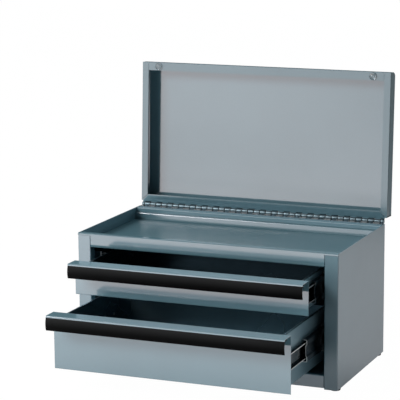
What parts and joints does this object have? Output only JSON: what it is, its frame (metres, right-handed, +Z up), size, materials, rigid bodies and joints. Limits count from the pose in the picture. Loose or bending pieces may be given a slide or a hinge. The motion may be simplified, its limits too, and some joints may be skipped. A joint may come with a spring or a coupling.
{
  "type": "machinist tool chest",
  "caption": "Steel bench tool chest: full-width drawers on ball-bearing slides with black pull grips, under a shallow top tray closed by a lid on a continuous hinge.",
  "frame": {"origin": "middle of the cabinet's footprint, on the surface that its feet stand on", "axes": "+X to the right seen from the front, +Y towards the hinge at the back, +Z up; the drawers open towards -Y"},
  "size_m": [0.4576, 0.4731, 0.4838],
  "materials": {
    "cabinet_paint": "smooth blue-grey metallic enamel",
    "inner_paint": "dark blue-grey enamel, duller than the outside",
    "slide_steel": "zinc-plated rolled steel",
    "ball_steel": "polished",
    "fastener_steel": "zinc-plated",
    "grip_plastic": "black, semi-gloss",
    "foot_rubber": "matt black",
    "bumper_plastic": "clear, soft"
  },
  "bodies": {
    "cabinet": {"left_side_panel": "cabinet_paint", "right_side_panel": "cabinet_paint", "back_panel": "cabinet_paint", "bottom_panel": "cabinet_paint", "top_tray": "cabinet_paint", "left_slide_bracket": "inner_paint", "right_slide_bracket": "inner_paint", "feet": "foot_rubber", "hinge_lower_leaf": "cabinet_paint", "hinge_pin": "fastener_steel", "upper_slide_screws": "fastener_steel", "lower_slide_screws": "fastener_steel", "upper_left_fixed_member": "slide_steel", "upper_right_fixed_member": "slide_steel", "lower_left_fixed_member": "slide_steel", "lower_right_fixed_member": "slide_steel"},
    "lid": {"hinge_upper_leaf": "cabinet_paint", "lid_shell": "cabinet_paint", "lid_bumpers": "bumper_plastic"},
    "upper_drawer": {"upper_drawer_front": "cabinet_paint", "upper_drawer_box": "inner_paint", "upper_drawer_grip": "grip_plastic", "upper_drawer_rivets": "fastener_steel", "upper_left_drawer_member": "slide_steel", "upper_right_drawer_member": "slide_steel"},
    "upper_middle_members": {"upper_left_middle_member": "slide_steel", "upper_right_middle_member": "slide_steel"},
    "upper_outer_cages": {"upper_left_outer_cage": "slide_steel", "upper_right_outer_cage": "slide_steel", "upper_outer_balls": "ball_steel"},
    "upper_inner_cages": {"upper_left_inner_cage": "slide_steel", "upper_right_inner_cage": "slide_steel", "upper_inner_balls": "ball_steel"},
    "lower_drawer": {"lower_drawer_front": "cabinet_paint", "lower_drawer_box": "inner_paint", "lower_drawer_grip": "grip_plastic", "lower_drawer_rivets": "fastener_steel", "lower_left_drawer_member": "slide_steel", "lower_right_drawer_member": "slide_steel"},
    "lower_middle_members": {"lower_left_middle_member": "slide_steel", "lower_right_middle_member": "slide_steel"},
    "lower_outer_cages": {"lower_left_outer_cage": "slide_steel", "lower_right_outer_cage": "slide_steel", "lower_outer_balls": "ball_steel"},
    "lower_inner_cages": {"lower_left_inner_cage": "slide_steel", "lower_right_inner_cage": "slide_steel", "lower_inner_balls": "ball_steel"}
  },
  "joints": [
    {"name": "lid_hinge", "type": "hinge", "parent": "cabinet", "child": "lid", "pos_m": [0, 0.1295, 0.2313], "axis": [1, 0, 0], "range_deg": [0, 93]},
    {"name": "upper_drawer_slide", "type": "slide", "parent": "cabinet", "child": "upper_drawer", "axis": [0, -1, 0], "range_m": [-0.0935, 0.1095]},
    {"name": "upper_middle_members_slide", "type": "slide", "parent": "cabinet", "child": "upper_middle_members", "axis": [0, -1, 0], "range_m": [-0.04675, 0.05475]},
    {"name": "upper_outer_cages_slide", "type": "slide", "parent": "cabinet", "child": "upper_outer_cages", "axis": [0, -1, 0], "range_m": [-0.02337, 0.02738]},
    {"name": "upper_inner_cages_slide", "type": "slide", "parent": "cabinet", "child": "upper_inner_cages", "axis": [0, -1, 0], "range_m": [-0.07013, 0.08213]},
    {"name": "lower_drawer_slide", "type": "slide", "parent": "cabinet", "child": "lower_drawer", "axis": [0, -1, 0], "range_m": [-0.1735, 0.0295]},
    {"name": "lower_middle_members_slide", "type": "slide", "parent": "cabinet", "child": "lower_middle_members", "axis": [0, -1, 0], "range_m": [-0.08675, 0.01475]},
    {"name": "lower_outer_cages_slide", "type": "slide", "parent": "cabinet", "child": "lower_outer_cages", "axis": [0, -1, 0], "range_m": [-0.04337, 0.00737]},
    {"name": "lower_inner_cages_slide", "type": "slide", "parent": "cabinet", "child": "lower_inner_cages", "axis": [0, -1, 0], "range_m": [-0.13012, 0.02212]}
  ],
  "couplings": [
    {"joint": "upper_middle_members_slide", "follows": "upper_drawer_slide", "ratio": 0.5},
    {"joint": "upper_outer_cages_slide", "follows": "upper_drawer_slide", "ratio": 0.25},
    {"joint": "upper_inner_cages_slide", "follows": "upper_drawer_slide", "ratio": 0.75},
    {"joint": "lower_middle_members_slide", "follows": "lower_drawer_slide", "ratio": 0.5},
    {"joint": "lower_outer_cages_slide", "follows": "lower_drawer_slide", "ratio": 0.25},
    {"joint": "lower_inner_cages_slide", "follows": "lower_drawer_slide", "ratio": 0.75}
  ]
}
